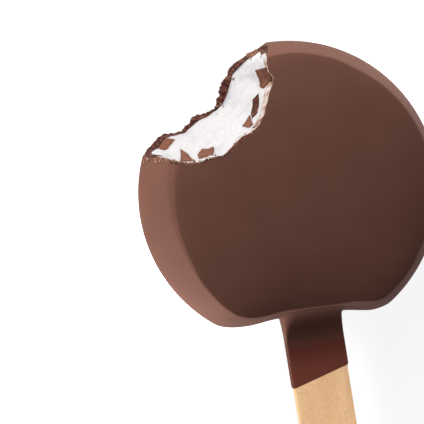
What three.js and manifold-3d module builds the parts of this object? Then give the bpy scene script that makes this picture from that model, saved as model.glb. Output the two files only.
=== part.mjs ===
// Round ice cream bar on a flat wooden stick, dipped in chocolate and bitten once at its upper left.
// Units are millimetres. The bar lies on its flat back: X runs across it, +Y from the stick to the top
// of the bar, +Z up out of the front face. The origin is the centre of the round on the flat back face.
import * as THREE from "three";
import { mergeVertices } from "three/addons/utils/BufferGeometryUtils.js";
import Module from "manifold-3d";

const wasm = await Module();
wasm.setup();

// Outline of the bar: a round with a cut base that the stick comes out of
const TOP_REACH = 37.5; // origin to the top of the bar
const SIDE_SWELL = 0.046; // how much further the sides reach, as a share of TOP_REACH
const BASE_REACH = 30.9; // origin to the base, beside the stick
const BASE_TILT = 0.05; // the base is cut a little askew of the stick
const CORNER_SAG = 0.9; // the base hangs this much lower at its two corners
const CORNER_SAG_FROM = 8; // distance from the stick's axis where the sag starts
const CORNER_SAG_TO = 17; // and where it is complete
const CORNER_BLEND = 2.2; // softening of the corner between round and base
const BASE_FACING = 0.3; // a direction looks at the base where its downward share is above this

// Side wall: widest at the parting plane, bulging in to both flat faces
const FRONT_HALF = 10.6; // parting plane to the front face
const BACK_HALF = 11.2; // parting plane to the back face
const WALL_LEAN = 4.6; // how far the round wall leans in by the time it meets a face
const BASE_LEAN = 3.0; // the same for the base wall
const FACE_BLEND = 1.1; // softening of the edge between wall and face
const FACE_START = 1.1; // the flat face starts this many blends past the end of the wall

// Layers
const COATING = 2.0; // thickness of the chocolate
const GAP = 0.3; // clearance between neighbouring pieces
const INNER_LEAN = 0.115; // share of its lean that a wall loses for each millimetre it lies deeper

// Wooden stick
const STICK_WIDTH = 14.6;
const STICK_THICKNESS = 2.0;
const STICK_TOP = 15; // its inner end, above the origin
const STICK_END = -85; // its outer end
const STICK_EDGE = 0.3; // easing of its long edges

// Chocolate that ran down the stick
const COLLAR_FILM = 0.45; // thickness on the stick
const COLLAR_FLARE = 1.6; // extra width where it runs into the base
const COLLAR_START = -29.6; // inside the coating of the base
const COLLAR_NECK = -32.6; // where the flare has died out
const COLLAR_END = -46.5; // lower edge on the stick's axis
const COLLAR_SLANT = 0.25; // the lower edge rises this much for each millimetre to the right
const COLLAR_CORNER = 0.9; // rounding along the collar's long edges

// Bite: seen from BITE_CENTRE, each mark is [bearing in degrees, reach at the front, reach at the back]
const BITE_CENTRE = new THREE.Vector2(-30, 38);
const BITE_MARKS = [
  [8, 31.5, 31.5],
  [-2, 29.0, 29.0],
  [-9, 26.7, 24.6],
  [-16, 26.8, 23.3],
  [-20, 28.2, 22.5],
  [-28, 27.8, 22.0],
  [-36, 28.2, 22.6],
  [-43, 28.7, 22.2],
  [-49, 28.6, 20.6],
  [-54, 27.7, 19.9],
  [-60, 27.7, 20.3],
  [-67, 28.2, 20.6],
  [-72, 27.3, 19.7],
  [-80, 27.1, 19.3],
  [-88, 26.4, 19.3],
  [-96, 25.2, 19.4],
  [-102, 24.8, 21.0],
  [-108, 24.6, 23.6],
  [-118, 24.5, 24.5],
];
const BITE_SCOOP = 1.0; // extra reach half way between front and back
const BITE_RECESS = 1.0; // how far the ice cream is set back from the broken chocolate at the back
const BREAK_DEPTH = 0.35; // raggedness of the broken chocolate
const BREAK_STEP = 7; // degrees of bearing from one coarse crag to the next
const BITE_MARGIN = 3; // how far the cutter passes both faces
const BITE_HUB = 0.1; // share of the way into the mouthful where the cutter's end faces meet

// Shards of coating pressed into the bitten ice cream: bearing, height above the parting plane,
// length, width, turn of the length from the line of the bite, and number of corners
const SHARDS = [
  { bearing: -20, level: 5.0, length: 6.2, width: 4.4, turn: 80, corners: 5 },
  { bearing: -35.5, level: 5.2, length: 6.0, width: 2.8, turn: -25, corners: 7 },
  { bearing: -44.5, level: 5.4, length: 4.6, width: 3.4, turn: 65, corners: 4 },
  { bearing: -71.5, level: 4.6, length: 6.4, width: 3.6, turn: 125, corners: 6 },
  { bearing: -82.4, level: 4.2, length: 6.4, width: 3.8, turn: 105, corners: 5 },
  { bearing: -83, level: -6.0, length: 5.6, width: 2.6, turn: 140, corners: 6 },
  { bearing: -7, level: -3.5, length: 5.4, width: 2.2, turn: 90, corners: 5 },
];
const SHARD_PROUD = 0.5; // height over the ice cream
const SHARD_SUNK = 0.9; // depth in it

// Fineness of the faceted surfaces
const AROUND = 84;
const OUTER_STEPS = { wall: 6, round: 3 };
const INNER_STEPS = { wall: 4, round: 2 };
const BITE_STEPS = 88;
const BITE_LEVELS = 10;
const STICK_CURVE = 12;
const FLARE_STEPS = 4;
const CORNER_STEPS = 3;

const { degToRad, lerp, smoothstep } = THREE.MathUtils;

// The smaller of two lengths, with the crossing rounded off over the length blend.
function softMin(a, b, blend) {
  const near = Math.max(blend - Math.abs(a - b), 0) / blend;
  return Math.min(a, b) - (near * near * blend) / 4;
}

// Height of the base line below the origin at a place across the bar.
function baseDepth(x) {
  const sag = CORNER_SAG * smoothstep(Math.abs(x), CORNER_SAG_FROM, CORNER_SAG_TO);
  return BASE_REACH + BASE_TILT * x + sag;
}

// Distance from the axis to the bar's side at an angle from +Y, with the round and the base set in.
function outlineReach(angle, roundInset, baseInset) {
  const round = TOP_REACH * (1 + SIDE_SWELL * Math.sin(angle) ** 2) - roundInset;
  const down = -Math.cos(angle);
  if (down < BASE_FACING) return round;
  let base = BASE_REACH / down;
  for (let pass = 0; pass < 3; pass += 1) {
    base = (baseDepth(base * Math.sin(angle)) - baseInset) / down;
  }
  return softMin(round, base, CORNER_BLEND);
}

// A point on the bar's skin, or on the surface that lies depth below it. rise is 0 at the parting
// plane, 1 where the wall meets the front face and -1 where it meets the back face.
function skinPoint(angle, rise, depth) {
  const half = (rise > 0 ? FRONT_HALF : BACK_HALF) - depth;
  const lean = (1 - INNER_LEAN * depth) * rise * rise;
  const reach = outlineReach(angle, depth + WALL_LEAN * lean, depth + BASE_LEAN * lean);
  const height = Math.sign(rise) * softMin(half * Math.abs(rise), half, FACE_BLEND);
  return new THREE.Vector3(
    reach * Math.sin(angle),
    reach * Math.cos(angle),
    BACK_HALF + height,
  );
}

// A closed geometry through rings of points, each ring running the same way round, with both ends
// closed on a hub point.
function loft(rings, firstHub, lastHub) {
  const size = rings[0].length;
  const points = [...rings.flat(), firstHub, lastHub];
  const index = [];
  const first = points.length - 2;
  const last = points.length - 1;
  const top = (rings.length - 1) * size;
  for (let i = 0; i < size; i += 1) {
    const next = (i + 1) % size;
    for (let row = 0; row < top; row += size) {
      const a = row + i;
      const b = row + next;
      index.push(a, b, b + size, a, b + size, a + size);
    }
    index.push(first, next, i, last, top + i, top + next);
  }
  const geometry = new THREE.BufferGeometry().setFromPoints(points);
  geometry.setIndex(index);
  return geometry;
}

// The closed geometry as a solid that can be joined and cut. A geometry that was wound inwards has
// its triangles turned first.
function solid(geometry) {
  const bare = geometry.clone();
  bare.deleteAttribute("normal");
  bare.deleteAttribute("uv");
  const merged = mergeVertices(bare, 1e-4);
  const vertProperties = new Float32Array(merged.attributes.position.array);
  const triVerts = new Uint32Array(merged.index.array);
  const made = new wasm.Manifold(new wasm.Mesh({ numProp: 3, vertProperties, triVerts }));
  if (made.volume() > 0) return made;
  triVerts.reverse();
  return new wasm.Manifold(new wasm.Mesh({ numProp: 3, vertProperties, triVerts }));
}

// The whole bar, or the part of it that lies depth below its skin.
function barSolid(depth, steps) {
  const blendShare = FACE_BLEND / (BACK_HALF - depth);
  const rises = [];
  for (let i = 1; i <= steps.wall; i += 1) {
    rises.push((i / steps.wall) * (1 - blendShare));
  }
  for (let i = 1; i <= steps.round; i += 1) {
    rises.push(lerp(1 - blendShare, 1 + FACE_START * blendShare, i / steps.round));
  }
  const all = [...rises.map((rise) => -rise).reverse(), 0, ...rises];
  const rings = all.map((rise) =>
    Array.from({ length: AROUND }, (_, i) => {
      return skinPoint((-2 * Math.PI * i) / AROUND, rise, depth);
    }),
  );
  const backHub = new THREE.Vector3(0, 0, rings[0][0].z);
  const frontHub = new THREE.Vector3(0, 0, rings.at(-1)[0].z);
  return solid(loft(rings, backHub, frontHub));
}

// The bite's outline from the top to the left side of the bar. Its points hold no place: x is the
// bearing, y the reach at the front and z the reach at the back.
const biteLine = new THREE.CatmullRomCurve3(
  BITE_MARKS.map((mark) => new THREE.Vector3(...mark)),
  false,
  "catmullrom",
);

// Share of the way from the back face to the front face, at a height over the parting plane.
function frontShare(level) {
  return (level + BACK_HALF) / (BACK_HALF + FRONT_HALF);
}

// Where the bite's surface lies: along runs from 0 at the top to 1 at the left side of the bar.
function bitePoint(along, level, recess, ragged) {
  const { x: bearing, y: front, z: back } = biteLine.getPoint(along);
  const share = frontShare(level);
  const inside = Math.min(Math.max(share, 0), 1);
  const crag =
    Math.sin((2 * Math.PI * bearing) / BREAK_STEP + 0.4 * level) +
    Math.sin((5 * Math.PI * bearing) / BREAK_STEP - 0.7 * level);
  const reach =
    lerp(back, front, share) +
    BITE_SCOOP * Math.sin(Math.PI * inside) +
    recess * Math.max(1 - 2 * inside, 0) +
    (ragged * crag) / 2;
  return new THREE.Vector3(
    BITE_CENTRE.x + reach * Math.cos(degToRad(bearing)),
    BITE_CENTRE.y + reach * Math.sin(degToRad(bearing)),
    BACK_HALF + level,
  );
}

// The missing mouthful, a little taller than the bar.
function biteSolid(recess, ragged) {
  const rings = [];
  for (let row = 0; row <= BITE_LEVELS; row += 1) {
    const level = lerp(-BACK_HALF - BITE_MARGIN, FRONT_HALF + BITE_MARGIN, row / BITE_LEVELS);
    const ring = [new THREE.Vector3(BITE_CENTRE.x, BITE_CENTRE.y, BACK_HALF + level)];
    for (let i = 0; i <= BITE_STEPS; i += 1) {
      ring.push(bitePoint(i / BITE_STEPS, level, recess, ragged));
    }
    rings.push(ring);
  }
  const hubs = [rings[0], rings.at(-1)].map((ring) => {
    return ring[0].clone().lerp(ring[BITE_STEPS / 2], BITE_HUB);
  });
  return solid(loft(rings, ...hubs));
}

// How far along the bite's outline a bearing is met, found by halving.
function alongOf(bearing) {
  let low = 0;
  let high = 1;
  for (let pass = 0; pass < 20; pass += 1) {
    const middle = (low + high) / 2;
    if (biteLine.getPoint(middle).x > bearing) low = middle;
    else high = middle;
  }
  return low;
}

// A flat shard on the bitten surface: a polygon with as many corners as stated, partly sunk in.
function shardSolid({ bearing, level, length, width, turn, corners }) {
  const along = alongOf(bearing);
  const place = bitePoint(along, level, BITE_RECESS, 0);
  const sideways = bitePoint(alongOf(bearing - 1), level, BITE_RECESS, 0).sub(place).normalize();
  const upward = bitePoint(along, level + 1, BITE_RECESS, 0).sub(place).normalize();
  const outward = new THREE.Vector3().crossVectors(sideways, upward).normalize();
  upward.crossVectors(outward, sideways);
  if (outward.dot(new THREE.Vector3(BITE_CENTRE.x, BITE_CENTRE.y, place.z).sub(place)) < 0) {
    outward.negate();
  }
  const rings = [-SHARD_SUNK, SHARD_PROUD].map((lift) =>
    Array.from({ length: corners }, (_, i) => {
      const angle = (2 * Math.PI * (i + 0.5)) / corners;
      const flat = new THREE.Vector2((length / 2) * Math.cos(angle), (width / 2) * Math.sin(angle));
      flat.rotateAround(new THREE.Vector2(), degToRad(turn));
      return place
        .clone()
        .addScaledVector(sideways, flat.x)
        .addScaledVector(upward, flat.y)
        .addScaledVector(outward, lift);
    }),
  );
  const hubs = [-SHARD_SUNK, SHARD_PROUD].map((lift) =>
    place.clone().addScaledVector(outward, lift),
  );
  return solid(loft(rings, ...hubs));
}

// The flat stick with two round ends, grown by a clearance on every side.
function stickGeometry(grow) {
  const radius = STICK_WIDTH / 2 - STICK_EDGE + grow;
  const upper = STICK_TOP - STICK_WIDTH / 2;
  const lower = STICK_END + STICK_WIDTH / 2;
  const shape = new THREE.Shape();
  shape.absarc(0, upper, radius, 0, Math.PI, false);
  shape.absarc(0, lower, radius, Math.PI, 2 * Math.PI, false);
  const flat = STICK_THICKNESS - 2 * STICK_EDGE + 2 * grow;
  const geometry = new THREE.ExtrudeGeometry(shape, {
    depth: flat,
    curveSegments: STICK_CURVE,
    bevelThickness: STICK_EDGE,
    bevelSize: STICK_EDGE,
    bevelSegments: 1,
  });
  geometry.translate(0, 0, BACK_HALF - flat / 2);
  return geometry;
}

// One ring of the collar: a rounded box round the stick, grown on every side. down is 0 where the
// collar leaves the base and 1 at its slanted lower edge.
function collarRing(down, grow) {
  const wide = STICK_WIDTH / 2 + GAP + COLLAR_FILM + grow;
  const thick = STICK_THICKNESS / 2 + GAP + COLLAR_FILM + grow;
  const ring = [];
  for (let corner = 0; corner < 4; corner += 1) {
    const toX = corner === 0 || corner === 3 ? 1 : -1;
    const toZ = corner < 2 ? 1 : -1;
    for (let i = 0; i <= CORNER_STEPS; i += 1) {
      const angle = ((corner + i / CORNER_STEPS) * Math.PI) / 2;
      const x = toX * (wide - COLLAR_CORNER) + COLLAR_CORNER * Math.cos(angle);
      const z = toZ * (thick - COLLAR_CORNER) + COLLAR_CORNER * Math.sin(angle);
      const y = lerp(COLLAR_START, COLLAR_END + COLLAR_SLANT * x, down);
      ring.push(new THREE.Vector3(x, y, BACK_HALF + z));
    }
  }
  return ring;
}

// The film of chocolate on the stick, flared where it runs into the base.
function collarSolid() {
  const neck = (COLLAR_NECK - COLLAR_START) / (COLLAR_END - COLLAR_START);
  const rings = Array.from({ length: FLARE_STEPS + 1 }, (_, i) => {
    const step = i / FLARE_STEPS;
    return collarRing(step * neck, COLLAR_FLARE * (1 - step) ** 2);
  });
  rings.push(collarRing(1, 0));
  const firstHub = new THREE.Vector3(0, COLLAR_START, BACK_HALF);
  const lastHub = new THREE.Vector3(0, COLLAR_END, BACK_HALF);
  return solid(loft(rings, firstHub, lastHub));
}

// A named mesh made from a solid.
function meshOf(name, made, color, roughness) {
  const { vertProperties, triVerts } = made.getMesh();
  const geometry = new THREE.BufferGeometry();
  geometry.setAttribute("position", new THREE.BufferAttribute(vertProperties, 3));
  geometry.setIndex(new THREE.BufferAttribute(triVerts, 1));
  geometry.computeVertexNormals();
  const material = new THREE.MeshStandardMaterial({ color, roughness, metalness: 0 });
  const mesh = new THREE.Mesh(geometry, material);
  mesh.name = name;
  return mesh;
}

const stickSpace = solid(stickGeometry(GAP));

const coating = barSolid(0, OUTER_STEPS)
  .add(collarSolid())
  .subtract(barSolid(COATING, INNER_STEPS))
  .subtract(biteSolid(0, BREAK_DEPTH))
  .subtract(stickSpace);

const creamBody = barSolid(COATING + GAP, INNER_STEPS);
const core = SHARDS.reduce(
  (cream, shard) => cream.add(shardSolid(shard).intersect(creamBody)),
  creamBody.subtract(biteSolid(BITE_RECESS, 0)),
).subtract(stickSpace);

const bar = new THREE.Group();
bar.name = "ice_cream_bar";
bar.add(meshOf("chocolate_coating", coating, 0x5c4036, 0.42));
bar.add(meshOf("ice_cream_core", core, 0xf5f3f4, 0.7));
bar.add(meshOf("wooden_stick", solid(stickGeometry(0)), 0xdcb88c, 0.75));

export default bar;
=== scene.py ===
"""Round ice cream bar on a flat wooden stick, dipped in milk chocolate and bitten at its upper left.

The bar lies on its flat back on a pale table. X runs across it, +Y from the stick to its top and +Z
up out of its front face. Shapes are worked out in millimetres and put into the meshes in metres.
"""

from math import cos, pi, radians, sin

import bpy
import numpy as np
from mathutils import Matrix, Vector


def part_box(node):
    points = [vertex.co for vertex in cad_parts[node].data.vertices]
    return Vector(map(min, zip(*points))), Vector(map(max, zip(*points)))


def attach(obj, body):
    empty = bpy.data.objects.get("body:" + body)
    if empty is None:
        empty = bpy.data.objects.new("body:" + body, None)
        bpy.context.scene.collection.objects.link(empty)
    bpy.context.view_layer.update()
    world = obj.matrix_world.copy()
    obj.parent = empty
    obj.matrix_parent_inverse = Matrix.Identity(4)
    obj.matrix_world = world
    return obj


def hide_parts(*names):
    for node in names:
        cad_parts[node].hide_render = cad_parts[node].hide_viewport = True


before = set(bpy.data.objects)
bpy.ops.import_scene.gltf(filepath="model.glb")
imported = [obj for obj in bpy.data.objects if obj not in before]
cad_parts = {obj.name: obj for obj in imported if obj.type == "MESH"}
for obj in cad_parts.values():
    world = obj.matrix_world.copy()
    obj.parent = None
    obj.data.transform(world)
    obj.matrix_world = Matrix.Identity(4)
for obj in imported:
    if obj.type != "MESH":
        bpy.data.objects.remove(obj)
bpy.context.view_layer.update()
MM = 0.001

# ---------------------------------------------------------------------------------------------
# Table, light and camera. The bar lies on a white table that is lit from within, most towards the
# lower left and again towards the upper right. Small softboxes stand round its top and left, a
# narrow strip light hangs over the stick, and the ceiling is dim.
# ---------------------------------------------------------------------------------------------

PARTING = 11.2  # height of the bar's widest plane over the table
VIEW_LEFT = radians(18.0)  # the camera stands this far to the bar's left of straight above
VIEW_UP = radians(1.8)  # and this far towards its top
VIEW_ROLL = radians(9.17)  # the bar leans this much anticlockwise in the frame
VIEW_DISTANCE = 756.0
VIEW_NEAR = 10.0
VIEW_FAR = 20000.0
FRAME_PX = 424
BAR_CENTRE_PX = (290.4, 191.8)
PX_PER_MM = 4.029
SENSOR = 36.0
TABLE_SIZE = 6000.0
TABLE_COLOUR = "#f4f4f4"
TABLE_MATT = "#7c7c7c"  # what it gives back of the light that falls on it
TABLE_GLOW = 0.99
# Bearing clockwise from +Y, and how much more the table glows there
GLOW_LOBES = ((238.0, 4.5), (278.0, 0.4), (55.0, 1.9))
GLOW_NARROWNESS = 8.0  # power of the cosine that fades each of them
SKY_COLOUR = "#fff0fb"
SKY_GLOW = 0.055
SOFTBOX_SIZE = 140.0
SOFTBOX_DISTANCE = 320.0
# Bearing clockwise from +Y, height in degrees and power in watts
SOFTBOXES = ((355.0, 42.0, 0.36), (0.0, 20.0, 0.28), (305.0, 20.0, 0.3), (270.0, 6.0, 0.1))
STRIP_PLACE = (0.0, -70.0, 260.0)
STRIP_SIZE = (30.0, 62.0)
STRIP_SPREAD = radians(4.0)
STRIP_WATTS = 0.0041


def linear(colour):
    """Turns an sRGB hex colour into linear red, green, blue and alpha."""
    parts = [int(colour[i : i + 2], 16) / 255 for i in (1, 3, 5)]
    return (*[p / 12.92 if p <= 0.04045 else ((p + 0.055) / 1.055) ** 2.4 for p in parts], 1.0)


def add(tree, kind, inputs=None, **settings):
    """Adds one node with its settings, and sets or links its inputs by name or number."""
    made = tree.nodes.new(kind)
    for name, value in settings.items():
        setattr(made, name, value)
    for socket, value in (inputs or {}).items():
        if isinstance(value, bpy.types.NodeSocket):
            tree.links.new(value, made.inputs[socket])
        else:
            made.inputs[socket].default_value = value
    return made


def new_material(name):
    """Starts an empty material and gives it with its node tree."""
    material = bpy.data.materials.new(name)
    material.use_nodes = True
    material.node_tree.nodes.clear()
    return material, material.node_tree


def put_mesh(name, points, faces, *materials):
    """Puts points in millimetres and faces into a new object, smooth shaded. Where the volume, the sum
    of corner a . (b x c) + a . (c x d) over the faces, is below zero, the faces are turned out."""
    points = np.asarray(points, float)
    a, b, c = (points[[face[k] for face in faces]] for k in (0, 1, 2))
    d = points[[face[-1] for face in faces]]
    if np.sum(a * np.cross(b, c)) + np.sum(a * np.cross(c, d)) < 0:
        faces = [face[::-1] for face in faces]
    mesh = bpy.data.meshes.new(name)
    mesh.from_pydata((np.asarray(points) * MM).tolist(), [], faces)
    mesh.polygons.foreach_set("use_smooth", np.ones(len(mesh.polygons), bool))
    for material in materials:
        mesh.materials.append(material)
    mesh.update()
    piece = bpy.data.objects.new(name, mesh)
    bpy.context.scene.collection.objects.link(piece)
    return piece


# The table is no lamp, yet it glows: its emission, strongest at GLOW_LOBES, is painted light that lights
# the bar.
table_paint, tree = new_material("glowing_white_table")
place = add(tree, "ShaderNodeTexCoord").outputs["Object"]
bearing = add(tree, "ShaderNodeVectorMath", {0: place}, operation="NORMALIZE").outputs[0]
strength = TABLE_GLOW
for degrees, extra in GLOW_LOBES:
    peak = (sin(radians(degrees)), cos(radians(degrees)), 0)
    facing = add(tree, "ShaderNodeVectorMath", {0: bearing, 1: peak}, operation="DOT_PRODUCT")
    facing = add(tree, "ShaderNodeMath", {0: facing.outputs["Value"], 1: 0.0}, operation="MAXIMUM")
    lobe = add(tree, "ShaderNodeMath", {0: facing.outputs[0], 1: GLOW_NARROWNESS}, operation="POWER")
    terms = {0: lobe.outputs[0], 1: extra, 2: strength}
    strength = add(tree, "ShaderNodeMath", terms, operation="MULTIPLY_ADD").outputs[0]
glow = add(tree, "ShaderNodeEmission", {"Color": linear(TABLE_COLOUR), "Strength": strength})
matt = add(tree, "ShaderNodeBsdfDiffuse", {"Color": linear(TABLE_MATT)})
both = add(tree, "ShaderNodeAddShader", {0: glow.outputs[0], 1: matt.outputs[0]})
add(tree, "ShaderNodeOutputMaterial", {"Surface": both.outputs[0]})

half_table = TABLE_SIZE / 2
table = put_mesh(
    "table",
    [(x * half_table, y * half_table, 0) for x, y in ((-1, -1), (1, -1), (1, 1), (-1, 1))],
    [(0, 1, 2, 3)],
    table_paint,
)

world = bpy.data.worlds.new("studio")
world.use_nodes = True
world.node_tree.nodes.clear()
tree = world.node_tree
sky = add(tree, "ShaderNodeBackground", {"Color": linear(SKY_COLOUR), "Strength": SKY_GLOW})
add(tree, "ShaderNodeOutputWorld", {"Surface": sky.outputs[0]})
bpy.context.scene.world = world
bpy.context.scene.view_settings.view_transform = "Standard"

aim = Vector((0, 0, PARTING)) * MM
for degrees, height, watts in SOFTBOXES:
    level = cos(radians(height))
    out = Vector((sin(radians(degrees)) * level, cos(radians(degrees)) * level, sin(radians(height))))
    lamp = bpy.data.lights.new("softbox", "AREA")
    lamp.shape = "SQUARE"
    lamp.size = SOFTBOX_SIZE * MM
    lamp.energy = watts
    softbox = bpy.data.objects.new("softbox", lamp)
    softbox.location = aim + out * SOFTBOX_DISTANCE * MM
    softbox.rotation_euler = (-out).to_track_quat("-Z", "Y").to_euler()
    bpy.context.scene.collection.objects.link(softbox)

strip = bpy.data.lights.new("strip", "AREA")
strip.shape = "RECTANGLE"
strip.size, strip.size_y = (side * MM for side in STRIP_SIZE)
strip.spread = STRIP_SPREAD
strip.energy = STRIP_WATTS
strip_light = bpy.data.objects.new("strip", strip)
strip_light.location = Vector(STRIP_PLACE) * MM
bpy.context.scene.collection.objects.link(strip_light)

towards = Vector((-sin(VIEW_LEFT) * cos(VIEW_UP), sin(VIEW_UP), cos(VIEW_LEFT) * cos(VIEW_UP)))
across = Vector((cos(VIEW_LEFT), 0, sin(VIEW_LEFT)))
upward = towards.cross(across)
right = across * cos(VIEW_ROLL) - upward * sin(VIEW_ROLL)
top = across * sin(VIEW_ROLL) + upward * cos(VIEW_ROLL)
focal_px = PX_PER_MM * VIEW_DISTANCE
off_x = (BAR_CENTRE_PX[0] - FRAME_PX / 2) / focal_px
off_y = (FRAME_PX / 2 - BAR_CENTRE_PX[1]) / focal_px
swing = (right * off_x + top * off_y - towards).rotation_difference(-towards)
axes = Matrix([swing @ right, swing @ top, swing @ towards]).transposed()

lens = bpy.data.cameras.new("camera")
lens.sensor_width = SENSOR
lens.lens = focal_px / FRAME_PX * SENSOR
lens.clip_start = VIEW_NEAR * MM
lens.clip_end = VIEW_FAR * MM
camera = bpy.data.objects.new("camera", lens)
camera.matrix_world = Matrix.Translation(aim + towards * VIEW_DISTANCE * MM) @ axes.to_4x4()
bpy.context.scene.collection.objects.link(camera)
bpy.context.scene.camera = camera

# ---------------------------------------------------------------------------------------------
# Chocolate coating. A shell of milk chocolate 2 mm thick, set on the ice cream by dipping. It
# fills its own corners softly, runs down the stick as a thin film, and ends in a ragged break
# where the bar was bitten.
# ---------------------------------------------------------------------------------------------

_, coat_high = (np.array(corner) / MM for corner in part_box("chocolate_coating"))
stick_low, stick_high = (np.array(corner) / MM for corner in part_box("wooden_stick"))

TOP_REACH = coat_high[1]  # origin to the top of the bar
SIDE_SWELL = 0.046  # how much further the sides reach, as a share of TOP_REACH
BASE_REACH = 30.9  # origin to the base, beside the stick
BASE_TILT = 0.05  # the base is a little askew of the stick
CORNER_SAG = 0.9  # the base hangs this much lower at its corners
CORNER_SAG_SPAN = (8.0, 17.0)  # from here to here, measured from the stick's axis
CORNER_BLEND = 2.2  # how softly the round and the base meet
BASE_FACING = 0.3  # there is a base where the cosine from straight down is over this
FRONT_HALF = coat_high[2] - PARTING
BACK_HALF = PARTING
# How far the round wall leans in by the time it meets a face, at bearings from +Y
WALL_LEANS = (
    (5, 3.4),
    (20, 4.1),
    (40, 4.9),
    (60, 5.0),
    (80, 5.1),
    (100, 5.1),
    (120, 5.1),
    (140, 4.4),
    (160, 3.8),
    (185, 3.3),
    (207, 3.1),
    (222, 3.3),
    (237, 4.4),
    (252, 5.8),
    (270, 5.8),
    (290, 5.4),
    (310, 5.2),
    (335, 4.6),
)
LEAN_REACH = 11.0  # degrees over which each of them counts
BASE_LEAN = 2.3
LEAN_PROFILE = 1.2  # 1 would be a straight cone
FACE_BLEND = 0.6  # how softly the wall meets a face
EDGE_SOFTENING = 1.6  # the front edge is this much softer still towards the upper left
EDGE_SOFTEST = radians(-60.0)
EDGE_SOFT_POWER = 6  # of the cosine that fades it round the bar
FACE_START = 1.1  # the flat face starts this many edge widths in
FACE_DROP = 0.6  # the front face's edge lies this much under the solid's flat face
FACE_CROWN = 2.4  # and its middle this much higher than its edge
FACE_CROWN_POWER = 3.0
MARGIN_FALL = 0.35  # more height that it loses just inside the edge
MARGIN_POWER = 14.0
COATING = 2.0
INNER_LEAN = 0.115  # an inner surface leans this share less for each millimetre of its depth
# Points round the bar, and rings up the wall, round the edge and over the face
SKIN_GRID = (420, 28, 36, 24)
INNER_GRID = (200, 12, 8, 4)
COAT_CREASE = radians(35.0)

BITE_CENTRE = np.array((-30.0, 38.0))
# Bearing in degrees seen from BITE_CENTRE, reach at the front, reach at the back, and how far the
# ice cream is set back from the broken coating at the back
BITE_MARKS = np.array(
    [
        (8, 31.5, 31.5, 1.0),
        (-2, 29.0, 28.2, 0.8),
        (-9, 26.7, 24.0, 0.8),
        (-16, 26.8, 23.2, 0.3),
        (-20, 28.2, 22.6, 0.6),
        (-28, 27.8, 21.8, 1.1),
        (-36, 28.2, 22.4, 0.1),
        (-43, 28.7, 22.0, -0.5),
        (-49, 28.6, 20.4, 0.5),
        (-54, 27.7, 19.7, 0.4),
        (-60, 27.7, 19.9, 0.0),
        (-67, 28.2, 20.4, -0.5),
        (-72, 27.3, 19.6, -0.2),
        (-80, 27.1, 19.0, 0.2),
        (-88, 26.4, 19.1, 1.0),
        (-96, 25.2, 19.2, 0.9),
        (-102, 24.8, 20.8, 0.8),
        (-108, 24.6, 23.4, 0.8),
        (-118, 24.5, 24.5, 0.8),
    ]
)
BITE_SCOOP = 1.0  # the teeth reach this much further half-way through
BITE_MARGIN = 3.0  # the tool stands this far out of both faces
BITE_HUB = 0.1  # its ends are fanned from this share of the way out
BITE_SAMPLES = 1200
BREAK_GRID = (700, 150)  # steps along the bite and up it
# Depth of the break's chips, their length along the bite and up it, and seed
CHIPS = ((0.42, 1.6, 3.0, 3), (0.26, 0.7, 1.6, 4), (0.1, 0.3, 0.5, 5))
CHIPS_CALMED = 0.65  # they lose this share of their depth towards the front
LATTICE = 128  # random heights each way before the noise repeats

COLLAR_FILM = 0.25  # thickness of the chocolate on the wood
COLLAR_FILLET = 0.9  # radius of the fillet that the chocolate makes beside the stick
COLLAR_RAMP = 6.5  # and of the softer one over the stick's front and back
COLLAR_ROUND = 0.8  # how far the ramp's own corners are rounded, as a share of its height
COLLAR_START = -27.0
COLLAR_END = -46.6  # lower edge on the stick's axis
COLLAR_SLANT = 0.24
COLLAR_RIPPLE = 0.12
RIPPLE_TURN = 0.9  # radians of the ripple for each millimetre across
RIPPLE_SHIFT = 2.2
COLLAR_RINGS = 28
CORNER_STEPS = 8
FILM_RINGS = 40
FILM_CORNER = 0.35
FILM_ENDS_FROM = 0.94  # share of its length from which the film thins out
FILM_ENDS_BY = 0.7  # and the share of its thickness that it loses there
FILM_THICK_FROM = -34.0  # the film is as brown as the bar down to here
FILM_THIN_FROM = -40.0  # and from here on the wood warms it
FILM_COLOUR = "#5e2d22"
STICK_HALF = stick_high[0]
STICK_THICK = stick_high[2] - stick_low[2]
SLOT_SPAN = (-25.0, -52.0)  # the stick's slot in the coating, along the stick
SLOT_TIGHT = 0.02  # no light shows between the film and the wood
SLOT_CORNER = 0.25
SLOT_STEPS = 4


def soft_min(a, b, blend):
    """The smaller of two lengths, less a parabola of height blend / 4 where they cross."""
    near = np.maximum(blend - np.abs(a - b), 0) / blend
    return np.minimum(a, b) - near**2 * blend / 4


def smoothstep(low, high, value):
    """0 below low, 1 above high, and 3t^2 - 2t^3 between them."""
    t = np.clip((value - low) / (high - low), 0, 1)
    return t * t * (3 - 2 * t)


def lattice_noise(u, v, seed, sharp=False):
    """Random heights from -1 to 1 at whole numbers of u and v, joined by smooth or straight ramps."""
    heights = np.random.default_rng(seed).uniform(-1, 1, (LATTICE, LATTICE))
    i, j = np.floor(u).astype(int), np.floor(v).astype(int)
    f, g = u - i, v - j
    if not sharp:
        f, g = smoothstep(0, 1, f), smoothstep(0, 1, g)
    corner = [heights[(i + a) % LATTICE, (j + b) % LATTICE] for a in (0, 1) for b in (0, 1)]
    low = corner[0] + (corner[1] - corner[0]) * g
    high = corner[2] + (corner[3] - corner[2]) * g
    return low + (high - low) * f


def outline_reach(angle, round_inset, base_inset):
    """Distance from the axis to the bar's side at an angle from +Y: the nearer of the round and the
    base line, each set in by its own inset, with their crossing softened. Three rounds find where
    the tilted, sagging base line is met."""
    rounded = TOP_REACH * (1 + SIDE_SWELL * np.sin(angle) ** 2) - round_inset
    down = np.maximum(-np.cos(angle), BASE_FACING)
    base = BASE_REACH / down
    for _ in range(3):
        x = base * np.sin(angle)
        sag = CORNER_SAG * smoothstep(*CORNER_SAG_SPAN, np.abs(x))
        base = (BASE_REACH + BASE_TILT * x + sag - base_inset) / down
    return np.where(-np.cos(angle) < BASE_FACING, rounded, soft_min(rounded, base, CORNER_BLEND))


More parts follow.
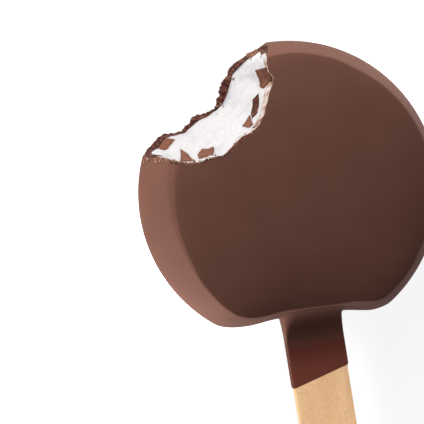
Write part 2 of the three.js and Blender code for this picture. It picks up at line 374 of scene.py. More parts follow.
def wall_lean(angle):
    """WALL_LEANS at any angle: their mean, weighted by exp(-(distance / LEAN_REACH)^2)."""
    marks = np.array(WALL_LEANS)
    apart = (np.degrees(angle)[..., None] - marks[:, 0] + 180) % 360 - 180
    weight = np.exp(-((apart / LEAN_REACH) ** 2))
    return (weight * marks[:, 1]).sum(axis=-1) / weight.sum(axis=-1)


def skin(angle, rise, depth):
    """Points of the bar's skin, or of the surface that lies depth below it. rise is 0 at the parting
    plane and 1 or -1 where the wall meets the front or back face; the wall leans in by its power
    LEAN_PROFILE."""
    half = np.where(rise > 0, FRONT_HALF - FACE_DROP, BACK_HALF) - depth
    lean = (1 - INNER_LEAN * depth) * np.abs(rise) ** LEAN_PROFILE
    reach = outline_reach(angle, depth + wall_lean(angle) * lean, depth + BASE_LEAN * lean)
    softer = EDGE_SOFTENING * np.clip(np.cos(angle - EDGE_SOFTEST), 0, 1) ** EDGE_SOFT_POWER
    blend = FACE_BLEND + np.where(rise > 0, softer, 0)
    height = np.sign(rise) * soft_min(half * np.abs(rise), half, blend)
    z = np.broadcast_to(PARTING + height, reach.shape)
    return np.stack([reach * np.sin(angle), reach * np.cos(angle), z], axis=-1)


def crown(x, y, depth):
    """Height of the front face's dome over its edge: two powers of the share of the way out."""
    edge = np.linalg.norm(skin(np.arctan2(x, y), np.ones_like(x), depth)[..., :2], axis=-1)
    inward = np.minimum(np.hypot(x, y) / edge, 1)
    return FACE_CROWN * (1 - inward**FACE_CROWN_POWER) + MARGIN_FALL * (1 - inward**MARGIN_POWER)


def skin_height(x, y):
    """Height of the bar's upper skin over a place on the table, or the parting plane's beyond it."""
    angle = np.arctan2(x, y)
    inward = (outline_reach(angle, 0, 0) - np.hypot(x, y)) / wall_lean(angle)
    rise = np.clip(inward, 0, 1) ** (1 / LEAN_PROFILE)
    half = FRONT_HALF - FACE_DROP
    return PARTING + soft_min(half * rise, half, FACE_BLEND) + crown(x, y, 0)


def loft(rings, first_hub, last_hub):
    """Points and faces of a closed surface through rings, both ends fanned to a hub point."""
    rows, size = rings.shape[:2]
    points = np.concatenate([rings.reshape(-1, 3), [first_hub], [last_hub]])
    row, i = np.meshgrid(np.arange(rows - 1), np.arange(size), indexing="ij")
    a, b = row * size + i, row * size + (i + 1) % size
    quads = np.stack([a, b, b + size, a + size], axis=-1).reshape(-1, 4)
    i = np.arange(size)
    after, top_row = (i + 1) % size, (rows - 1) * size
    start = np.stack([np.full(size, rows * size), after, i], axis=-1)
    end = np.stack([np.full(size, rows * size + 1), top_row + i, top_row + after], axis=-1)
    return points, quads.tolist() + start.tolist() + end.tolist()


def bar_shape(depth, around, wall_steps, round_steps, face_steps):
    """The closed bar, or what lies depth below its skin: rings over the back face, up the wall and
    over the crowned front face, and the middle points of both faces."""
    share = (FACE_BLEND + EDGE_SOFTENING) / (BACK_HALF - depth)
    wall = np.linspace(0, 1 - share, wall_steps, endpoint=False)
    edge = np.linspace(1 - share, 1 + FACE_START * share, round_steps + 1)
    rises = np.concatenate([wall, edge])
    rises = np.concatenate([-rises[:0:-1], rises])
    angle = np.linspace(0, -2 * pi, around, endpoint=False)
    rings = skin(angle[None, :], rises[:, None], depth)
    shares = np.linspace(1, 0, face_steps + 1)[1:-1][:, None, None]
    over = np.array([1.0, 1.0, 0.0])
    back = rings[0] * (shares[::-1] * over + (1 - over))
    front = rings[-1] * (shares * over + (1 - over))
    rings = np.concatenate([back, rings, front])
    rings[..., 2] += np.where(rings[..., 2] > PARTING, crown(rings[..., 0], rings[..., 1], depth), 0)
    middle = PARTING + FRONT_HALF - FACE_DROP + FACE_CROWN + MARGIN_FALL - depth
    return rings, back[0, 0] * (0, 0, 1), (0, 0, middle)


def bite_line(count):
    """Rows of bearing, front reach, back reach, set-back and length run along the bite, on a
    Catmull-Rom curve through BITE_MARKS."""
    marks = np.vstack([2 * BITE_MARKS[0] - BITE_MARKS[1], BITE_MARKS, 2 * BITE_MARKS[-1] - BITE_MARKS[-2]])
    t = np.linspace(0, len(BITE_MARKS) - 1, count)
    i = np.minimum(t.astype(int), len(BITE_MARKS) - 2)
    f = (t - i)[:, None]
    p0, p1, p2, p3 = marks[i], marks[i + 1], marks[i + 2], marks[i + 3]
    bend = 2 * p0 - 5 * p1 + 4 * p2 - p3
    twist = 3 * p1 - p0 - 3 * p2 + p3
    rows = (p1 + ((p2 - p0) * f + bend * f**2 + twist * f**3) / 2).T
    run = np.cumsum(np.abs(np.radians(np.diff(rows[0], prepend=rows[0][0]))) * rows[1])
    return np.vstack([rows, run])


BITE_LINE = bite_line(BITE_SAMPLES)


def bite_at(bearing):
    """Front reach, back reach, set-back and run at any bearing."""
    return [np.interp(-bearing, -BITE_LINE[0], row) for row in BITE_LINE[1:]]


def front_share(level):
    """0 at the back face and 1 at the front face, for a height over the parting plane."""
    return np.clip((level + BACK_HALF) / (BACK_HALF + FRONT_HALF), 0, 1)


def bite_reach(bearing, level):
    """Reach of the bite from BITE_CENTRE: a straight blend from back to front, scooped by a sine."""
    front, back = bite_at(bearing)[:2]
    share = (level + BACK_HALF) / (BACK_HALF + FRONT_HALF)
    return back + (front - back) * share + BITE_SCOOP * np.sin(pi * front_share(level))


def coat_reach(bearing, level):
    """Reach of the broken coating: the bite with the sum of three sizes of angular chips, which stand
    on edge and are about three times as deep at the back as at the front."""
    run = bite_at(bearing)[3]
    chips = sum(
        depth * lattice_noise(run / length, level / height, seed, sharp=True)
        for depth, length, height, seed in CHIPS
    )
    return bite_reach(bearing, level) + chips * (1 - CHIPS_CALMED * front_share(level))


def bite_point(bearing, reach, level):
    """The point at a bearing, a reach from BITE_CENTRE and a height over the parting plane."""
    x = BITE_CENTRE[0] + reach * np.cos(np.radians(bearing))
    y = BITE_CENTRE[1] + reach * np.sin(np.radians(bearing))
    return np.stack([x, y, PARTING + level + 0 * x], axis=-1)


def bite_tool(reach_of, steps, levels, material):
    """The missing mouthful as a closed tool whose wall lies at reach_of(bearing, level). Its faces
    are triangles, so that each stays flat where it cuts."""
    bearing = BITE_LINE[0][np.linspace(0, BITE_LINE.shape[1] - 1, steps).astype(int)][None, :]
    level = np.linspace(-BACK_HALF - BITE_MARGIN, FRONT_HALF + BITE_MARGIN, levels)[:, None]
    wall = bite_point(bearing, reach_of(bearing, level), level)
    centre = bite_point(np.zeros((levels, 1)), np.zeros((levels, 1)), level)
    rings = np.concatenate([centre, wall], axis=1)
    hubs = [ring[0] + (ring[steps // 2] - ring[0]) * BITE_HUB for ring in (rings[0], rings[-1])]
    points, faces = loft(rings, *hubs)
    triangles = [(face[0], *face[k : k + 2]) for face in faces for k in range(1, len(face) - 1)]
    return put_mesh("mouthful", points, triangles, material)


def combine(piece, tool, operation):
    """Joins the tool to the piece or cuts it out, and throws the tool away."""
    change = piece.modifiers.new("combine", "BOOLEAN")
    change.operation = operation
    change.solver = "MANIFOLD"
    change.material_mode = "TRANSFER"
    change.object = tool
    bpy.context.view_layer.update()
    made = bpy.data.meshes.new_from_object(piece.evaluated_get(bpy.context.evaluated_depsgraph_get()))
    piece.modifiers.clear()
    piece.data, old = made, piece.data
    bpy.data.meshes.remove(old)
    bpy.data.objects.remove(tool)


def rounded_box_ring(half_wide, half_thick, corner, steps):
    """A closed ring in the XZ plane: a box with quarter circles at its corners."""
    turn = np.linspace(0, pi / 2, steps + 1)
    sides = []
    for k, (sx, sz) in enumerate(((1, 1), (-1, 1), (-1, -1), (1, -1))):
        angle = turn + k * pi / 2
        x = sx * (half_wide - corner) + corner * np.cos(angle)
        z = sz * (half_thick - corner) + corner * np.sin(angle)
        sides.append(np.stack([x, z], axis=-1))
    return np.concatenate(sides)


def fillet_rise(radius, away):
    """Height of a quarter circle's fillet over its foot, at a distance from the wall it leaves."""
    return radius - np.sqrt(radius**2 - np.clip(radius - away, 0, radius) ** 2)


def collar_shape():
    """The film on the stick: rounded boxes that flare to fillets where they leave the leaning base,
    and run down to a slanted, rippled edge, where the film thins out."""
    rings = []
    for away in COLLAR_RAMP * (1 - np.cos(np.linspace(0, pi / 2, COLLAR_RINGS))):
        ramp = fillet_rise(COLLAR_RAMP, away)
        half_wide = STICK_HALF + COLLAR_FILM + fillet_rise(COLLAR_FILLET, away)
        half_thick = STICK_THICK / 2 + COLLAR_FILM + ramp
        corner = FILM_CORNER + COLLAR_ROUND * ramp
        x, level = rounded_box_ring(half_wide, half_thick, corner, CORNER_STEPS).T
        sag = CORNER_SAG * smoothstep(*CORNER_SAG_SPAN, np.abs(x))
        lean = BASE_LEAN * (np.abs(level) / FRONT_HALF) ** LEAN_PROFILE
        y = lean - BASE_REACH - BASE_TILT * x - sag - away
        rings.append(np.stack([x, y, PARTING + level], axis=-1))
    inside = rings[0].copy()
    inside[:, 1] = COLLAR_START
    rings.insert(0, inside)
    foot = rings[-1][:, 1]
    for share in np.linspace(0, 1, FILM_RINGS)[1:]:
        film = COLLAR_FILM * (1 - smoothstep(FILM_ENDS_FROM, 1.0, share) * FILM_ENDS_BY)
        ring = rounded_box_ring(STICK_HALF + film, STICK_THICK / 2 + film, FILM_CORNER, CORNER_STEPS)
        x, level = ring.T
        end = COLLAR_END + COLLAR_SLANT * x + COLLAR_RIPPLE * np.sin(x * RIPPLE_TURN + RIPPLE_SHIFT)
        rings.append(np.stack([x, foot + (end - foot) * share, PARTING + level], axis=-1))
    return np.array(rings), (0, COLLAR_START, PARTING), (0, COLLAR_END, PARTING)


# Milk chocolate that set smooth as it ran: a soft, nearly matt brown with a faint cloudy bloom. The
# thin film on the wood turns redder.
BLOOM_CLOUD = 11.1
FLOW_WAVE = 6.25
SUGAR_GRAIN = 0.385

chocolate, tree = new_material("milk_chocolate_satin")
at = add(tree, "ShaderNodeTexCoord").outputs["Object"]
cloud = add(
    tree,
    "ShaderNodeTexNoise",
    {"Vector": at, "Scale": 1 / (BLOOM_CLOUD * MM), "Detail": 4.0, "Roughness": 0.55},
)
tint = add(tree, "ShaderNodeValToRGB", {"Fac": cloud.outputs["Fac"]})
tint.color_ramp.elements[0].position, tint.color_ramp.elements[1].position = 0.3, 0.7
tint.color_ramp.elements[0].color = linear("#7c5346")
tint.color_ramp.elements[1].color = linear("#82584a")
along = add(tree, "ShaderNodeSeparateXYZ", {0: at}).outputs["Y"]
thinness = add(
    tree,
    "ShaderNodeMapRange",
    {"Value": along, "From Min": FILM_THICK_FROM * MM, "From Max": FILM_THIN_FROM * MM},
    interpolation_type="SMOOTHSTEP",
).outputs[0]
film = add(
    tree,
    "ShaderNodeMix",
    {0: thinness, 6: tint.outputs["Color"], 7: linear(FILM_COLOUR)},
    data_type="RGBA",
)
grain = add(tree, "ShaderNodeTexNoise", {"Vector": at, "Scale": 1 / (SUGAR_GRAIN * MM), "Detail": 2.0})
soft = add(tree, "ShaderNodeTexNoise", {"Vector": at, "Scale": 1 / (FLOW_WAVE * MM), "Detail": 1.0})
fine = add(tree, "ShaderNodeBump", {"Height": grain.outputs["Fac"], "Strength": 0.03, "Distance": 0.2 * MM})
bump = add(
    tree,
    "ShaderNodeBump",
    {"Height": soft.outputs["Fac"], "Strength": 0.03, "Distance": 1.0 * MM, "Normal": fine.outputs[0]},
)
surface = add(
    tree,
    "ShaderNodeBsdfPrincipled",
    {
        "Base Color": film.outputs[2],
        "Roughness": 0.85,
        "IOR": 1.46,
        "Specular IOR Level": 0.22,
        "Normal": bump.outputs[0],
    },
)
add(tree, "ShaderNodeOutputMaterial", {"Surface": surface.outputs[0]})

# The same chocolate where it snapped: matt, with paler chips. It is darker than the skin, which is
# painted shade on the snapped face. Its front rim is smeared with ice cream, as much as the vertex
# attribute smear says: 0.5 is a beige film and 1 is white.
BREAK_GRIT = 1.11
BREAK_UPRIGHT = 0.35  # the grit is drawn out upwards
SMEAR_PATCH = 1.92

broken, tree = new_material("milk_chocolate_broken")
at = add(tree, "ShaderNodeTexCoord").outputs["Object"]
upright = add(tree, "ShaderNodeMapping", {"Vector": at, "Scale": (1.0, 1.0, BREAK_UPRIGHT)}).outputs[0]
grit = add(
    tree,
    "ShaderNodeTexNoise",
    {"Vector": upright, "Scale": 1 / (BREAK_GRIT * MM), "Detail": 4.0, "Roughness": 0.6},
)
# Painted shade: these browns are darker than the skin's, to darken the snapped face.
tint = add(tree, "ShaderNodeValToRGB", {"Fac": grit.outputs["Fac"]})
tint.color_ramp.elements[0].position, tint.color_ramp.elements[1].position = 0.36, 0.72
tint.color_ramp.elements[0].color = linear("#2f150f")
tint.color_ramp.elements[1].color = linear("#8a5f4d")
middle = tint.color_ramp.elements.new(0.52)
middle.color = linear("#5a2f24")
smear = add(tree, "ShaderNodeAttribute", attribute_name="smear").outputs["Fac"]
patch = add(tree, "ShaderNodeTexNoise", {"Vector": at, "Scale": 1 / (SMEAR_PATCH * MM), "Detail": 3.0})
cover = add(
    tree, "ShaderNodeMapRange", {"Value": patch.outputs["Fac"], "From Min": 0.3, "From Max": 0.48}
).outputs[0]
beige = add(tree, "ShaderNodeValToRGB", {"Fac": patch.outputs["Fac"]})
beige.color_ramp.elements[0].position, beige.color_ramp.elements[1].position = 0.42, 0.62
beige.color_ramp.elements[0].color = linear("#bb9a83")
beige.color_ramp.elements[1].color = linear("#dbd0c8")
whiter = add(tree, "ShaderNodeMapRange", {"Value": smear, "From Min": 0.55, "From Max": 0.9}).outputs[0]
amount = add(tree, "ShaderNodeMapRange", {"Value": smear, "From Min": 0.1, "From Max": 0.45}).outputs[0]
cover = add(tree, "ShaderNodeMath", {0: cover, 1: whiter}, operation="MAXIMUM").outputs[0]
amount = add(tree, "ShaderNodeMath", {0: amount, 1: cover}, operation="MULTIPLY").outputs[0]
film = add(
    tree, "ShaderNodeMix", {0: whiter, 6: beige.outputs["Color"], 7: linear("#dbd6d5")}, data_type="RGBA"
).outputs[2]
shade = add(tree, "ShaderNodeMix", {0: amount, 6: tint.outputs["Color"], 7: film}, data_type="RGBA")
bump = add(tree, "ShaderNodeBump", {"Height": grit.outputs["Fac"], "Strength": 0.5, "Distance": 0.4 * MM})
surface = add(
    tree,
    "ShaderNodeBsdfPrincipled",
    {
        "Base Color": shade.outputs[2],
        "Roughness": 0.75,
        "IOR": 1.46,
        "Specular IOR Level": 0.15,
        "Normal": bump.outputs[0],
    },
)
add(tree, "ShaderNodeOutputMaterial", {"Surface": surface.outputs[0]})

coating = put_mesh("chocolate_coating_piece", *loft(*bar_shape(0, *SKIN_GRID)), chocolate)
combine(coating, put_mesh("collar", *loft(*collar_shape()), chocolate), "UNION")
cavity = bar_shape(COATING, *INNER_GRID)
combine(coating, put_mesh("cavity", *loft(*cavity), broken), "DIFFERENCE")
combine(coating, bite_tool(coat_reach, *BREAK_GRID, broken), "DIFFERENCE")
slot_ring = rounded_box_ring(STICK_HALF - SLOT_TIGHT, STICK_THICK / 2 - SLOT_TIGHT, SLOT_CORNER, SLOT_STEPS)
slot_rings = np.array([np.insert(slot_ring, 1, y, axis=1) for y in SLOT_SPAN]) + (0, 0, PARTING)
slot_ends = [(0, y, PARTING) for y in SLOT_SPAN]
combine(coating, put_mesh("slot", *loft(slot_rings, *slot_ends), broken), "DIFFERENCE")
coating.data.set_sharp_from_angle(angle=COAT_CREASE)

# Bearing round the bite, how deep under the skin the smear of ice cream starts, and how white it is
SMEARS = np.array(
    [
        (-122, 0.5, 0.0),
        (-116, 0.5, 1.0),
        (-74, 0.5, 1.0),
        (-66, 1.4, 1.0),
        (-50, 1.3, 1.0),
        (-43, 0.0, 0.5),
        (-13, 0.0, 0.5),
        (-9, 0.5, 1.0),
        (-7.5, 0.5, 1.0),
        (-6.5, 0.5, 0.0),
    ]
).T
SMEAR_FADE = (0.55, 0.1)  # it fades in from this far above that depth to this far below it
SMEAR_FLOOR = 16.0  # only the coating of the front face is smeared
spots = np.empty(3 * len(coating.data.vertices))
coating.data.vertices.foreach_get("co", spots)
x, y, z = spots.reshape(-1, 3).T / MM
bearing = np.degrees(np.arctan2(y - BITE_CENTRE[1], x - BITE_CENTRE[0]))
bare = np.interp(bearing, SMEARS[0], SMEARS[1])
faded = smoothstep(bare - SMEAR_FADE[0], bare + SMEAR_FADE[1], skin_height(x, y) - z)
smears = np.interp(bearing, SMEARS[0], SMEARS[2]) * faded * (z > SMEAR_FLOOR)
coating.data.attributes.new("smear", "FLOAT", "POINT").data.foreach_set("value", smears)
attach(coating, "root")
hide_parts("chocolate_coating")

# ---------------------------------------------------------------------------------------------
# Ice cream. White aerated ice cream that fills the coating. The bite shows it: scooped between
# front and back, with the scrape of the teeth and the fine crystals that a frozen break leaves.
# ---------------------------------------------------------------------------------------------

CREAM_CLEAR = 0.03  # it nearly touches the coating
SCRAPE_GRID = (400, 120)  # steps along the bite and up it
CREAM_CREASE = radians(50.0)
# Height of its lumps, their length along the bite and up it, how far up they drift by one length,
# and seed: soft lumps of two sizes, and crystals
LUMPS = ((0.28, 5.0, 4.0, 9.0, 11), (0.09, 1.6, 1.3, np.inf, 12), (0.035, 0.4, 0.4, np.inf, 13))


def cream_reach(bearing, level):
    """Reach of the ice cream: the bite, set back behind the coating towards the back, with the sum of
    its lumps."""
    set_back, run = bite_at(bearing)[2:]
    lumps = sum(
        height * lattice_noise(run / length + level / drift, level / tall, seed)
        for height, length, tall, drift, seed in LUMPS
    )
    return bite_reach(bearing, level) + set_back * np.clip(1 - 2 * front_share(level), 0, 1) + lumps


# Vanilla ice cream, whipped full of air and frozen: white and faintly see-through, with clumps of
# crystals and soft greyer patches, which are painted shade standing in for shallow creases.
CRYSTAL_CLUMP = 1.11
CREASE_SHADE_SIZE = 5.88

cream, tree = new_material("vanilla_ice_cream")
at = add(tree, "ShaderNodeTexCoord").outputs["Object"]
crystal = add(
    tree,
    "ShaderNodeTexNoise",
    {"Vector": at, "Scale": 1 / (CRYSTAL_CLUMP * MM), "Detail": 4.0, "Roughness": 0.6},
)
tint = add(tree, "ShaderNodeValToRGB", {"Fac": crystal.outputs["Fac"]})
tint.color_ramp.elements[0].position, tint.color_ramp.elements[1].position = 0.25, 0.6
tint.color_ramp.elements[0].color = linear("#d6d3d5")
tint.color_ramp.elements[1].color = linear("#e3e0df")
# Painted shade: greyer patches in place of the shade of shallow creases.
crease_shade = add(
    tree,
    "ShaderNodeTexNoise",
    {"Vector": at, "Scale": 1 / (CREASE_SHADE_SIZE * MM), "Detail": 3.0, "Distortion": 1.2},
)
crease_shade = add(
    tree,
    "ShaderNodeMapRange",
    {"Value": crease_shade.outputs["Fac"], "From Min": 0.52, "From Max": 0.72, "To Max": 0.5},
)
pale = add(
    tree,
    "ShaderNodeMix",
    {0: crease_shade.outputs[0], 6: tint.outputs["Color"], 7: linear("#c2bfc6")},
    data_type="RGBA",
)
crystals = {"Height": crystal.outputs["Fac"], "Strength": 0.35, "Distance": 0.4 * MM}
bump = add(tree, "ShaderNodeBump", crystals)
surface = add(
    tree,
    "ShaderNodeBsdfPrincipled",
    {
        "Base Color": pale.outputs[2],
        "Roughness": 0.55,
        "IOR": 1.35,
        "Subsurface Weight": 0.6,
        "Subsurface Radius": (2.2 * MM, 2.1 * MM, 2.0 * MM),
        "Subsurface Scale": 1.0,
        "Normal": bump.outputs[0],
    },
)
add(tree, "ShaderNodeOutputMaterial", {"Surface": surface.outputs[0]})

filling = bar_shape(COATING + CREAM_CLEAR, *INNER_GRID)
ice_cream = put_mesh("ice_cream_piece", *loft(*filling), cream)
combine(ice_cream, bite_tool(cream_reach, *SCRAPE_GRID, cream), "DIFFERENCE")
ice_cream.data.set_sharp_from_angle(angle=CREAM_CREASE)
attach(ice_cream, "root")
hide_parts("ice_cream_core")

# ---------------------------------------------------------------------------------------------
# Chocolate flakes. Angular flakes of milk chocolate frozen into the ice cream, 5 to 11 mm long. The
# bite broke through seven of them, and they stand a little proud of the ice cream.
# ---------------------------------------------------------------------------------------------

FLAKE_PROUD = 0.32
FLAKE_SUNK = 1.0
FLAKE_BEVEL = 0.3
FLAKE_EDGE_STEPS = 4
FLAKE_CHIPS = 0.09  # how far the points of its outline are chipped
FLAKE_NARROWEST = 0.2  # no ring shrinks below this share of the outline
FLAKE_CREASE = radians(25.0)
BREAK_SEED = 21  # of the flakes' and the crumbs' random draws
# From a flake's sunk foot to its front: how far in from the outline, how proud and how rough
FLAKE_RINGS = (
    (0.1, -FLAKE_SUNK, 0.0),
    (0.0, FLAKE_PROUD - FLAKE_BEVEL, 0.03),
    (FLAKE_BEVEL * 0.8, FLAKE_PROUD, 0.05),
    (FLAKE_BEVEL * 3, FLAKE_PROUD + 0.05, 0.1),
)
# Bearing and height over the parting plane of each flake's middle, how pale it is, and its corners in
# millimetres, along the bite and up it
FLAKES = [
    (-19.4, 7.7, 0.2, [(2.0, -5.4), (2.4, 2.6), (-0.4, 3.0), (-2.8, -0.2), (-2.4, -2.4)]),
    (-35.5, 6.3, 0.0, [(3.6, -0.2), (0.6, 1.8), (-1.6, 2.4), (-2.8, 1.4), (-2.0, -0.8), (2.2, -2.4)]),
    (-44.5, 7.2, 0.4, [(2.4, -2.4), (0.0, 2.4), (-1.2, 2.0), (-1.2, -2.0)]),
    (-71.5, 5.8, 0.45, [(-2.0, -0.8), (0.8, -3.6), (3.0, -2.2), (1.6, 0.4), (-0.2, 3.6), (-3.0, 2.6)]),
    (-82.4, 5.3, 0.35, [(1.2, -6.8), (1.6, -2.8), (0.6, 3.2), (-0.8, 4.0), (-2.6, 2.4)]),
    (-82.9, -6.5, 0.5, [(-2.9, 0.7), (-1.7, -1.2), (0.4, -2.0), (2.2, -0.3), (0.0, 1.5), (-1.9, 2.8)]),
    (-5.6, -4.6, 0.4, [(0.3, -4.6), (1.0, -0.6), (0.4, 3.6), (-0.6, 3.6), (-1.0, -0.4)]),
]


def flake_mesh(bearing, level, corners, rng):
    """Points and faces of one flake. Its outline with chipped edges follows the ice cream's surface,
    sunk at the back, bevelled at the front, with a front of facets round a middle point."""
    corners = np.array(corners)
    share = np.linspace(0, 1, FLAKE_EDGE_STEPS, endpoint=False)[:, None]
    outline = np.concatenate([a + (b - a) * share for a, b in zip(corners, np.roll(corners, -1, axis=0))])
    outline = outline + rng.uniform(-FLAKE_CHIPS, FLAKE_CHIPS, outline.shape)
    centre = corners.mean(axis=0)
    size = np.linalg.norm(outline - centre, axis=1, keepdims=True)
    middle_reach = bite_reach(bearing, level)

    def lay(flat, proud):
        """Points of the flake at places along and up the bite, proud of the ice cream."""
        bearings = bearing + np.degrees(flat[:, 0] / middle_reach)
        levels = level + flat[:, 1]
        return bite_point(bearings, cream_reach(bearings, levels) - proud, levels)

    rings = []
    for inset, proud, rough in FLAKE_RINGS:
        flat = centre + (outline - centre) * np.maximum(1 - inset / size, FLAKE_NARROWEST)
        rings.append(lay(flat, proud + rng.uniform(-rough, rough, len(flat))))
    hubs = [lay(centre[None, :], proud)[0] for proud in (-FLAKE_SUNK, FLAKE_PROUD)]
    return loft(np.array(rings), *hubs)


def gather(parts):
    """Joins lists of points and faces into one."""
    points, faces, shift = [], [], 0
    for some_points, some_faces in parts:
        points.append(some_points)
        faces += [[corner + shift for corner in face] for face in some_faces]
        shift += len(some_points)
    return np.concatenate(points), faces


# Snapped milk chocolate, each flake of its own shade, with paler splinters where it snapped.
SNAP = 1.43
SPLINTER = 0.588

flake_chocolate, tree = new_material("chocolate_flake")
at = add(tree, "ShaderNodeTexCoord").outputs["Object"]
snap = add(
    tree,
    "ShaderNodeTexNoise",
    {"Vector": at, "Scale": 1 / (SNAP * MM), "Detail": 4.0, "Roughness": 0.65},
)
tone = add(tree, "ShaderNodeAttribute", attribute_name="tone").outputs["Fac"]
mottle = add(tree, "ShaderNodeMath", {0: snap.outputs["Fac"], 1: 1.2, 2: tone}, operation="MULTIPLY_ADD")
tint = add(tree, "ShaderNodeValToRGB", {"Fac": mottle.outputs[0]})
tint.color_ramp.elements[0].position, tint.color_ramp.elements[1].position = 0.45, 1.5
tint.color_ramp.elements[0].color = linear("#3f170b")
tint.color_ramp.elements[1].color = linear("#875743")
grit = add(tree, "ShaderNodeTexNoise", {"Vector": at, "Scale": 1 / (SPLINTER * MM), "Detail": 2.0})
specks = add(
    tree,
    "ShaderNodeMapRange",
    {"Value": grit.outputs["Fac"], "From Min": 0.58, "From Max": 0.68, "To Max": 0.35},
)
shade = add(
    tree,
    "ShaderNodeMix",
    {0: specks.outputs[0], 6: tint.outputs["Color"], 7: linear("#ab7d64")},
    data_type="RGBA",
)
bump = add(tree, "ShaderNodeBump", {"Height": snap.outputs["Fac"], "Strength": 0.5, "Distance": 0.4 * MM})
surface = add(
    tree,
    "ShaderNodeBsdfPrincipled",
    {
        "Base Color": shade.outputs[2],
        "Roughness": 0.65,
        "IOR": 1.46,
        "Specular IOR Level": 0.1,
        "Normal": bump.outputs[0],
    },
)
add(tree, "ShaderNodeOutputMaterial", {"Surface": surface.outputs[0]})

rng = np.random.default_rng(BREAK_SEED)
made = [flake_mesh(bearing, level, corners, rng) for bearing, level, _, corners in FLAKES]
flakes = put_mesh("chocolate_flakes", *gather(made), flake_chocolate)
tones = np.concatenate([np.full(len(points), tone) for (points, _), (_, _, tone, _) in zip(made, FLAKES)])
flakes.data.attributes.new("tone", "FLOAT", "POINT").data.foreach_set("value", tones)
flakes.data.set_sharp_from_angle(angle=FLAKE_CREASE)
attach(flakes, "root")

# ---------------------------------------------------------------------------------------------
# Crumbs. Splinters of the coating, 0.2 to 0.7 mm across, that the bite left on its rims, some of
# them pale with ice cream.
# ---------------------------------------------------------------------------------------------

# Bearings, heights over the parting plane, share of each zone's crumbs that lie on the skin outside
# the rim, and number
CRUMB_ZONES = [
    ((-120, -72), (7.5, 11.5), 0.75, 120),
    ((-116, -99), (-9, 9), 0.0, 34),
    ((-44, -36), (-11, -8), 0.0, 14),
    ((-20, -12), (-11, -8), 0.0, 9),
    ((-9, 3), (-10, 9), 0.0, 16),
    ((-72, -46), (9.6, 12.4), 0.3, 20),
]
CRUMB_RADII = (0.1, 0.34)
CRUMB_BEYOND = (-0.1, 0.55)  # how far outside the rim those on the skin lie
# In crumb radii: the places of its tips and its two rings, the reach of its arms, and its stretch
CRUMB_TIPS = (-1.0, 0.9)
CRUMB_WAISTS = (-0.45, 0.4)
CRUMB_ARMS = (0.7, 1.15)
CRUMB_STRETCH = (0.7, 1.3)
CRUMB_SIDES = 5
CRUMB_CREASE = radians(20.0)


def crumb_mesh(centre, radius, rng):
    """Points and faces of one crumb: two uneven rings between two tips, stretched and spun at random."""
    turn = np.linspace(0, 2 * pi, CRUMB_SIDES, endpoint=False) + rng.uniform(0, 1)
    rings = []
    for waist in CRUMB_WAISTS:
        arm = radius * rng.uniform(*CRUMB_ARMS, CRUMB_SIDES)
        height = np.full(CRUMB_SIDES, waist * radius)
        rings.append(np.stack([arm * np.cos(turn), arm * np.sin(turn), height], axis=-1))
    spin = np.linalg.qr(rng.normal(size=(3, 3)))[0]
    rings = np.array(rings) * rng.uniform(*CRUMB_STRETCH, 3)
    points, faces = loft(rings, *[np.array([0, 0, tip * radius]) for tip in CRUMB_TIPS])
    return points @ spin + centre, faces


# Crumbled milk chocolate, some of it pale with ice cream.
CRUMB_MOTTLE = 1.25

crumb_chocolate, tree = new_material("chocolate_crumb")
at = add(tree, "ShaderNodeTexCoord").outputs["Object"]
bits = add(tree, "ShaderNodeTexNoise", {"Vector": at, "Scale": 1 / (CRUMB_MOTTLE * MM), "Detail": 1.0})
tint = add(tree, "ShaderNodeValToRGB", {"Fac": bits.outputs["Fac"]})
tint.color_ramp.elements[0].position, tint.color_ramp.elements[1].position = 0.38, 0.62
tint.color_ramp.elements[0].color = linear("#4b281e")
tint.color_ramp.elements[1].color = linear("#c99c7c")
surface = add(
    tree,
    "ShaderNodeBsdfPrincipled",
    {"Base Color": tint.outputs["Color"], "Roughness": 0.6, "IOR": 1.46},
)
add(tree, "ShaderNodeOutputMaterial", {"Surface": surface.outputs[0]})

made = []
for bearings, levels, outside, count in CRUMB_ZONES:
    for _ in range(count):
        radius = rng.uniform(*CRUMB_RADII)
        bearing, level = rng.uniform(*bearings), rng.uniform(*levels)
        beyond = rng.uniform(*CRUMB_BEYOND) if rng.uniform() < outside else 0
        place = bite_point(bearing, coat_reach(bearing, level) + beyond, level)
        height = float(skin_height(place[0], place[1]))
        if beyond:
            place[2] = height
        if height > PARTING and 2 * PARTING - height <= place[2] <= height:
            made.append(crumb_mesh(place, radius, rng))
crumbs = put_mesh("chocolate_crumbs", *gather(made), crumb_chocolate)
crumbs.data.set_sharp_from_angle(angle=CRUMB_CREASE)
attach(crumbs, "root")

# ---------------------------------------------------------------------------------------------
# Wooden stick. A flat birch stick, sliced and tumbled: round ends, edges just broken, and a fine
# straight grain along its length.
# ---------------------------------------------------------------------------------------------

EDGE_ROUND = 0.35
EDGE_POINTS = 7
FACE_INSETS = (6.9, 4.6, 2.2)  # of the rings on both faces
ARC_POINTS = 33
SIDE_POINTS = 40


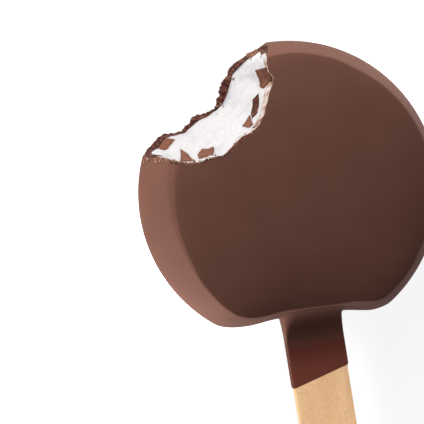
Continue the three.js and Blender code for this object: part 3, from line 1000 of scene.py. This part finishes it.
def stick_shape():
    """Stadium outlines carried over the edge: from the lower face's middle line, out and round the
    edge, and back over the upper face."""
    half = STICK_THICK / 2
    flat = half - EDGE_ROUND
    turn = np.linspace(-pi / 2, pi / 2, EDGE_POINTS)
    edge = [(EDGE_ROUND * (1 - cos(t)), flat * np.sign(t) + EDGE_ROUND * sin(t)) for t in turn]
    under = [(inset, -half) for inset in FACE_INSETS]
    over = [(inset, half) for inset in FACE_INSETS[::-1]]
    arc = np.linspace(0, pi, ARC_POINTS)
    rings = []
    for depth, z in (*under, *edge, *over):
        radius = STICK_HALF - depth
        upper = np.stack([radius * np.cos(arc), stick_high[1] - STICK_HALF + radius * np.sin(arc)], axis=-1)
        lower = np.stack([-radius * np.cos(arc), stick_low[1] + STICK_HALF - radius * np.sin(arc)], axis=-1)
        side = np.linspace(0, 1, SIDE_POINTS)[1:-1, None]
        left = upper[-1] + (lower[0] - upper[-1]) * side
        right_side = lower[-1] + (upper[0] - lower[-1]) * side
        ring = np.concatenate([upper, left, lower, right_side])
        rings.append(np.column_stack([ring, np.full(len(ring), PARTING + z)]))
    middle = (stick_low[1] + stick_high[1]) / 2
    return np.array(rings), (0, middle, PARTING - half), (0, middle, PARTING + half)


# Bare birch, sliced along the grain and tumbled smooth: matt and pale, with soft bands along the
# stick and fine short flecks.
GRAIN_BAND = 2.38
BAND_STRETCH = 0.12  # scale of the bands along the stick, where 1 is as across it
WOOD_FLECK = 0.385
FLECK_STRETCH = 0.4

wood, tree = new_material("birch_wood_bare")
at = add(tree, "ShaderNodeTexCoord").outputs["Object"]
along = add(tree, "ShaderNodeMapping", {"Vector": at, "Scale": (1.0, BAND_STRETCH, 1.0)}).outputs[0]
bands = add(tree, "ShaderNodeTexNoise", {"Vector": along, "Scale": 1 / (GRAIN_BAND * MM), "Detail": 3.0})
tint = add(tree, "ShaderNodeValToRGB", {"Fac": bands.outputs["Fac"]})
tint.color_ramp.elements[0].position, tint.color_ramp.elements[1].position = 0.3, 0.7
tint.color_ramp.elements[0].color = linear("#dcae81")
tint.color_ramp.elements[1].color = linear("#e5ba8c")
fibre = add(tree, "ShaderNodeMapping", {"Vector": at, "Scale": (1.0, FLECK_STRETCH, 1.0)}).outputs[0]
flecks = add(tree, "ShaderNodeTexNoise", {"Vector": fibre, "Scale": 1 / (WOOD_FLECK * MM), "Detail": 2.0})
mark = add(
    tree,
    "ShaderNodeMapRange",
    {"Value": flecks.outputs["Fac"], "From Min": 0.35, "From Max": 0.6, "To Min": 0.9, "To Max": 1.0},
)
colour = add(
    tree,
    "ShaderNodeMix",
    {0: 1.0, 6: tint.outputs["Color"], 7: mark.outputs[0]},
    data_type="RGBA",
    blend_type="MULTIPLY",
)
bump = add(tree, "ShaderNodeBump", {"Height": flecks.outputs["Fac"], "Strength": 0.3, "Distance": 0.1 * MM})
surface = add(
    tree,
    "ShaderNodeBsdfPrincipled",
    {"Base Color": colour.outputs[2], "Roughness": 0.7, "IOR": 1.45, "Normal": bump.outputs[0]},
)
add(tree, "ShaderNodeOutputMaterial", {"Surface": surface.outputs[0]})

stick = put_mesh("birch_stick", *loft(*stick_shape()), wood)
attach(stick, "root")
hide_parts("wooden_stick")
